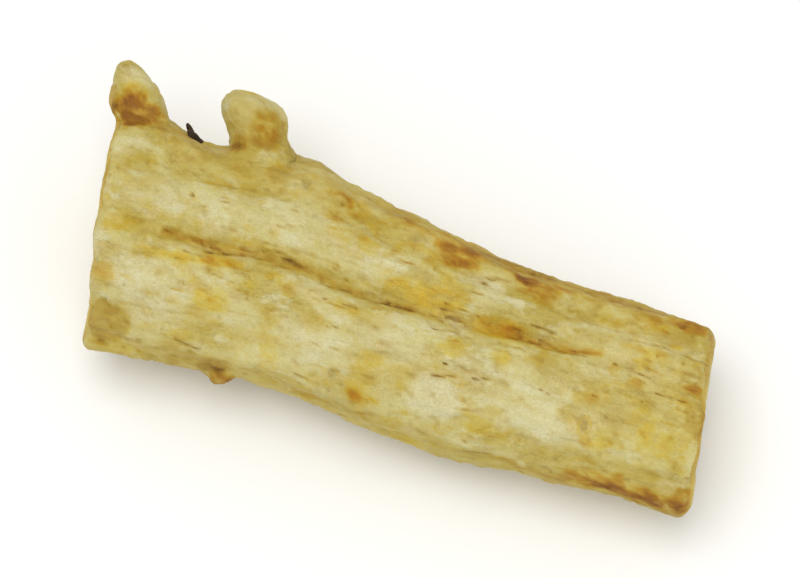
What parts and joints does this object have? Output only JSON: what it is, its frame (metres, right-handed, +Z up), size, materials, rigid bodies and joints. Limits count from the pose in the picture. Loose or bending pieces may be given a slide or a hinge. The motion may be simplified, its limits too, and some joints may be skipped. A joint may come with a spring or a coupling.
{
  "type": "dried root length",
  "caption": "Cut length of dried glehnia root, thicker at its crown end, with a furrow along the crest, rootlet scars and short side-root stubs on one flank, lying on its side.",
  "frame": {"origin": "centre of the root's footprint, at the surface that it lies on", "axes": "+X along the root from its crown end to its lower end, +Y to the flank with the side-root stubs, +Z up"},
  "size_m": [0.0364, 0.0156, 0.0108],
  "materials": {
    "root_flesh": "matte cream to ochre root flesh with orange-brown stains, dry and faintly waxy"
  },
  "bodies": {
    "root": {"dried_root": "root_flesh"}
  },
  "joints": []
}
